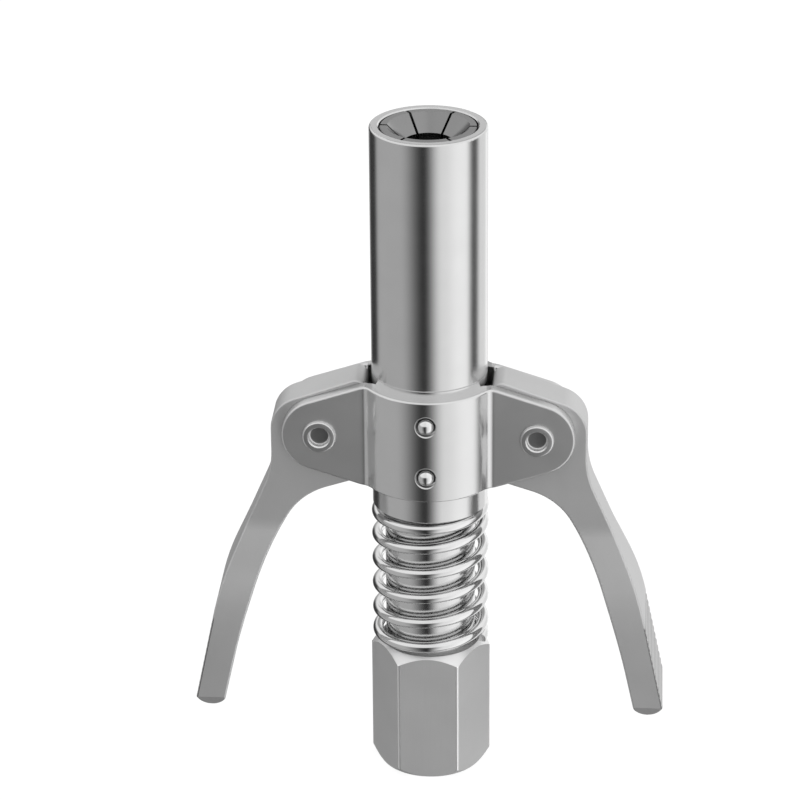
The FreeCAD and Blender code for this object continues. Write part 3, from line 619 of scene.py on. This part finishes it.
class COUPLER_OT_bracket(bpy.types.Operator):
    """Finish both bracket halves, with the wrap swollen as the bending leaves it"""
    bl_idname = "coupler.bracket"
    bl_label = "Bracket"

    def execute(self, context):
        swell = context.scene.coupler_pins.wrap_swell
        finishes = context.scene.coupler_finishes
        inner_face = SLEEVE_RADIUS + 0.4 * MM
        nickel = stamped_metal("bracket_nickel", finishes.bright_nickel, 0.17, 0.42, 8.4 * MM)
        for half in ("front", "rear"):
            bm = merged_copy("bracket_" + half)
            for vert in bm.verts:
                flat = Vector((vert.co.x, vert.co.y, 0))
                share = eased((EAR_START - abs(vert.co.x)) / (EAR_START - WRAP_END))
                if flat.length > inner_face:
                    vert.co += flat.normalized() * swell * share
            piece = piece_from(bm, "bracket_%s_strip" % half, nickel, "sleeve", 28)
            self.true_normals(piece.data)
            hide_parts("bracket_" + half)
        return {"FINISHED"}

    def true_normals(self, mesh):
        """Shade the wrap as a cylinder and the ears as flats, whatever their triangles are."""
        least_outward, least_straight = 0.985, 0.9999
        normals = [Vector(corner.vector) for corner in mesh.corner_normals]
        for face in mesh.polygons:
            outward = Vector((face.center.x, face.center.y, 0)).normalized()
            on_wrap = abs(face.center.x) < WRAP_END and face.normal.dot(outward) > least_outward
            flat = max(abs(face.normal.y), abs(face.normal.z)) > least_straight
            for loop in face.loop_indices:
                place = mesh.vertices[mesh.loops[loop].vertex_index].co
                if on_wrap and abs(place.x) < WRAP_END + 0.02 * MM:
                    normals[loop] = Vector((place.x, place.y, 0)).normalized()
                elif flat and not on_wrap:
                    normals[loop] = face.normal.copy()
        mesh.normals_split_custom_set(normals)


class COUPLER_OT_pins(bpy.types.Operator):
    """Turn the bracket's dome-headed pins and the hollow pivot rivets"""
    bl_idname = "coupler.pins"
    bl_label = "Pins and Rivets"

    def execute(self, context):
        sizes = context.scene.coupler_pins
        finishes = context.scene.coupler_finishes
        nickel = polished_metal("pin_nickel", finishes.wire_nickel, 0.1)
        for name in BRACKET_PINS:
            low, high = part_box(name)
            side = -1 if high.y < 0 else 1
            root = min(abs(low.y), abs(high.y))
            crest = max(abs(low.y), abs(high.y)) + sizes.wrap_swell
            bm = bmesh.new()
            lathe(bm, [(0, root, 0), (sizes.head_radius, root, 0),
                       (sizes.head_radius, crest, sizes.head_round), (0, crest, 0)], 48)
            self.stand_out(bm, side, (0, 0, (low.z + high.z) / 2))
            piece = piece_from(bm, name + "_dome", nickel, "sleeve", 35)
            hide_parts(name)
        # The floor of each rivet's hollow gets painted shade.
        satin = polished_metal("rivet_nickel", finishes.wire_nickel, 0.33, painted_hollow_shade)
        for name in ("pivot_pin_right", "pivot_pin_left"):
            low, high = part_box(name)
            ear = high.y - SOLID_RIM_HEIGHT
            crest = ear + sizes.rim_height
            floor = crest - sizes.hollow_depth
            bm = bmesh.new()
            lathe(bm, [(sizes.rivet_radius, 0, 0), (sizes.rivet_radius, ear, 0),
                       (sizes.rim_radius, ear, 0),
                       (sizes.rim_radius - sizes.rim_taper, crest, sizes.rim_round),
                       (sizes.hollow_radius + sizes.hollow_chamfer, crest, 0),
                       (sizes.hollow_radius, crest - sizes.hollow_chamfer, 0),
                       (sizes.hollow_radius, floor, sizes.hollow_round), (0, floor, 0)], 64)
            bmesh.ops.mirror(bm, geom=everything(bm), axis="Z", merge_dist=WELD)
            self.stand_out(bm, -1, ((low.x + high.x) / 2, 0, (low.z + high.z) / 2))
            piece = piece_from(bm, name + "_rivet", satin, "sleeve", 35)
            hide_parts(name)
        return {"FINISHED"}

    def stand_out(self, bm, side, place):
        """Turn a piece made along +Z to point along -Y or +Y and move it to its place."""
        bmesh.ops.rotate(bm, verts=bm.verts, matrix=Matrix.Rotation(-side * math.pi / 2, 3, "X"))
        bmesh.ops.translate(bm, verts=bm.verts, vec=place)


class COUPLER_OT_levers(bpy.types.Operator):
    """Finish both levers"""
    bl_idname = "coupler.levers"
    bl_label = "Levers"

    def execute(self, context):
        finishes = context.scene.coupler_finishes
        # Its grooves get painted shade.
        nickel = sheet_metal("lever_nickel", finishes.satin_nickel, 0.58, 0.08, painted_groove_shade)
        finish_nodes(["lever_right", "lever_left"], nickel)
        return {"FINISHED"}


class COUPLER_OT_jaws(bpy.types.Operator):
    """Finish the collet jaws and their ring"""
    bl_idname = "coupler.jaws"
    bl_label = "Collet Jaws"

    def execute(self, context):
        finishes = context.scene.coupler_finishes
        finish_nodes(JAWS, turned_metal("jaw_steel", finishes.jaw_steel, 0.2, 0.03 * MM, 0.12))
        finish_nodes(["jaw_ring"], polished_metal("ring_wire", finishes.wire_nickel, 0.14))
        return {"FINISHED"}


class COUPLER_OT_seals(bpy.types.Operator):
    """Finish the rubber seal and O-ring"""
    bl_idname = "coupler.seals"
    bl_label = "Seals"

    def execute(self, context):
        finishes = context.scene.coupler_finishes
        finish_nodes(["face_seal", "stem_o_ring"], rubber("seal_rubber", finishes.seal_black))
        return {"FINISHED"}


class COUPLER_OT_valve(bpy.types.Operator):
    """Finish the check ball and put merged copies of the two small springs in place of their solids"""
    bl_idname = "coupler.valve"
    bl_label = "Check Valve"

    def execute(self, context):
        finishes = context.scene.coupler_finishes
        steel = polished_metal("valve_steel", finishes.wire_nickel, 0.1)
        finish_nodes(["check_ball"], steel)
        bottom, top = 0, 1
        for name, joint, fixed_end in (("check_spring", "ball_lift", top),
                                       ("seal_spring", "plunger_press", bottom)):
            ends = [corner.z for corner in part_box(name)]
            spring = piece_from(merged_copy(name), name + "_wire", steel, "core", 40)
            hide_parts(name)
            keep = 1 - joint_travel(joint) / (ends[top] - ends[bottom])
            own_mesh(spring)
        return {"FINISHED"}


class COUPLER_OT_main_spring(bpy.types.Operator):
    """Wind the main spring from round wire, with closed and ground ends"""
    bl_idname = "coupler.main_spring"
    bl_label = "Main Spring"

    def execute(self, context):
        sizes = context.scene.coupler_spring
        finishes = context.scene.coupler_finishes
        wire_radius = sizes.wire / 2
        coil_radius = sizes.reach - wire_radius
        steps_per_turn = 60
        steps = round(sizes.turns * steps_per_turn)
        step_angle = 2 * math.pi * sizes.turns / steps
        low = SPRING_LOW.z + wire_radius / 2
        high = SPRING_HIGH.z - wire_radius / 2

        def openness(turn):
            """0 on the closed turns at both ends, 1 on the open turns between them."""
            from_end = min(turn, sizes.turns - turn) - sizes.closed_turns
            return eased(from_end / sizes.opening_turns)

        weights = [openness((step + 0.5) * sizes.turns / steps) for step in range(steps)]
        closed_rise = sizes.closed_pitch * wire_radius * sizes.turns / steps
        open_rise = (high - low - steps * closed_rise) / sum(weights)

        bm = bmesh.new()
        bmesh.ops.create_circle(bm, segments=24, radius=wire_radius, cap_ends=True)
        bmesh.ops.rotate(bm, verts=bm.verts, matrix=Matrix.Rotation(math.pi / 2, 3, "X"))
        bmesh.ops.translate(bm, verts=bm.verts, vec=(coil_radius, 0, low))
        bmesh.ops.rotate(bm, verts=bm.verts, matrix=Matrix.Rotation(sizes.start, 3, "Z"))
        rises = [closed_rise + open_rise * weight for weight in weights]
        wind(bm, everything(bm), rises, step_angle)
        closed_at(bm, SPRING_LOW.z, -1)
        closed_at(bm, SPRING_HIGH.z, 1)

        nickel = polished_metal("spring_nickel", finishes.wire_nickel, 0.08)
        spring = piece_from(bm, "main_spring_wire", nickel, "core", 40)
        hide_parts("main_spring")
        travel = joint_travel("sleeve_slide")
        keep = 1 - travel / (SPRING_HIGH.z - SPRING_LOW.z)
        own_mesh(spring)
        return {"FINISHED"}


class COUPLER_OT_studio(bpy.types.Operator):
    """Lay the floor, light the coupler and set up the camera"""
    bl_idname = "coupler.studio"
    bl_label = "Studio"

    def execute(self, context):
        settings = context.scene.coupler_studio
        self.lay_floor(settings)
        self.light_world(context.scene)
        self.add_camera(context.scene, settings)
        context.scene.view_settings.view_transform = "Standard"
        return {"FINISHED"}

    def lay_floor(self, settings):
        bm = bmesh.new()
        bmesh.ops.create_circle(bm, segments=96, radius=settings.floor_radius, cap_ends=True)
        mesh = bpy.data.meshes.new("floor")
        bm.to_mesh(mesh)
        bm.free()
        floor = bpy.data.objects.new("floor", mesh)
        bpy.context.scene.collection.objects.link(floor)
        material = bpy.data.materials.new("floor_white")
        shader = Shader(material)
        glow = shader.node("ShaderNodeEmission", None, (1, 1, 1, 1), settings.floor_glow)
        paint = shader.node("ShaderNodeBsdfDiffuse", None, grey([settings.floor_paint] * 3))
        both = shader.node("ShaderNodeAddShader", None, glow, paint)
        shader.node("ShaderNodeOutputMaterial", None, Surface=both)
        mesh.materials.append(material)
        floor.visible_glossy = False
        floor.visible_diffuse = False

    def light_world(self, scene):
        """Studio seen by direction; the camera itself sees plain white behind the coupler."""
        world = bpy.data.worlds.new("studio")
        scene.world = world
        shader = Shader(world)
        direction = shader.node("ShaderNodeTexCoord", output="Generated")
        side = shader.axis(direction, "X").turn_towards(-shader.axis(direction, "Y"))
        height = shader.axis(direction, "Z")

        def rise(low, high):
            """Smooth step up with the angle round the coupler, between two angles in degrees."""
            return side.between(math.radians(low), math.radians(high))

        def flag(azimuth, half_width, softness, depth):
            """Dark upright card: its middle, half width and soft edge in degrees."""
            off = abs(side - math.radians(azimuth))
            edge = math.radians(half_width)
            return 1 - depth * (1 - off.between(edge, edge + math.radians(softness)))

        # The walls: grey on the left, white on the right, and a bright panel behind on the right
        grey_side = 0.50 * (1 - rise(-55, -6))
        white_side = (rise(-6, 30) + 0.24 * rise(30, 66)
                      - 0.3 * rise(112, 130) - 0.4 * rise(164, 178))
        walls = 0.04 + grey_side + white_side
        panel = rise(144, 152) * (1 - rise(160, 172))
        walls = walls + (1.25 - walls) * panel
        # Two dark flags stand before them and let more through near their tops
        flags = flag(-138, 10, 18, 0.9) * flag(103, 3, 20, 0.9)
        walls = walls * (flags + (1 - flags) * 0.8 * height.between(-0.1, 0.45))
        # It is darker straight below, and the ceiling is an even white
        level = walls * (0.3 + 0.7 * height.between(-1.0, -0.8))
        level = 1.12 * (level + (1.15 - level) * (0.85 * height.between(0.1, 0.35)))
        # A grey card hangs high behind the coupler
        card = abs(side).between(math.radians(150), math.radians(170))
        card = card * height.between(0.32, 0.4) * (1 - height.between(0.7, 0.85))
        level = level * (1 - 0.62 * card)

        path = shader.node("ShaderNodeLightPath", output="Is Camera Ray")
        studio = shader.node("ShaderNodeBackground", None, Strength=level)
        plain = shader.node("ShaderNodeBackground", None, (1, 1, 1, 1), 1.0)
        both = shader.node("ShaderNodeMixShader", None, path, studio, plain)
        shader.node("ShaderNodeOutputWorld", None, Surface=both)

    def add_camera(self, scene, settings):
        level = math.cos(settings.elevation) * settings.distance
        place = Vector((math.sin(settings.azimuth) * level, -math.cos(settings.azimuth) * level,
                        settings.height + math.sin(settings.elevation) * settings.distance))
        forward = (Vector((0, 0, settings.height)) - place).normalized()
        right = forward.cross(Vector((0, 0, 1))).normalized()
        down = forward.cross(right)
        to_camera = (Matrix.Rotation(settings.roll, 3, "Z") @ Matrix.Rotation(settings.tilt, 3, "X")
                     @ Matrix.Rotation(settings.pan, 3, "Y") @ Matrix((right, down, forward)))
        axes = Matrix((to_camera[0], -to_camera[1], -to_camera[2])).transposed()
        data = bpy.data.cameras.new("camera")
        data.sensor_width = 36.0
        data.lens = settings.lens
        camera = bpy.data.objects.new("camera", data)
        camera.matrix_world = Matrix.Translation(place) @ axes.to_4x4()
        scene.collection.objects.link(camera)
        scene.camera = camera


OPERATORS = [COUPLER_OT_turned_parts, COUPLER_OT_connector, COUPLER_OT_bracket, COUPLER_OT_pins,
             COUPLER_OT_levers, COUPLER_OT_jaws, COUPLER_OT_seals, COUPLER_OT_valve,
             COUPLER_OT_main_spring, COUPLER_OT_studio]
GROUPS = {"coupler_finishes": CouplerFinishes, "coupler_connector": ConnectorSizes,
          "coupler_pins": PinSizes, "coupler_spring": SpringSizes,
          "coupler_studio": StudioSettings}


class COUPLER_PT_panel(bpy.types.Panel):
    """Sidebar list of the coupler's pieces, sizes and colours"""
    bl_idname = "COUPLER_PT_panel"
    bl_label = "Grease Coupler"
    bl_space_type = "VIEW_3D"
    bl_region_type = "UI"
    bl_category = "Coupler"

    def draw(self, context):
        for operator in OPERATORS:
            self.layout.operator(operator.bl_idname)
        for name, group in GROUPS.items():
            box = self.layout.box()
            for field in group.__annotations__:
                box.prop(getattr(context.scene, name), field)


def register():
    for group in GROUPS.values():
        bpy.utils.register_class(group)
    for operator in OPERATORS:
        bpy.utils.register_class(operator)
    bpy.utils.register_class(COUPLER_PT_panel)
    for name, group in GROUPS.items():
        setattr(bpy.types.Scene, name, bpy.props.PointerProperty(type=group))


def unregister():
    for name in GROUPS:
        delattr(bpy.types.Scene, name)
    for kind in [COUPLER_PT_panel] + OPERATORS[::-1] + list(GROUPS.values()):
        bpy.utils.unregister_class(kind)


def main():
    register()
    for operator in OPERATORS:
        getattr(bpy.ops.coupler, operator.bl_idname.split(".")[1])()


if __name__ == "__main__":
    main()
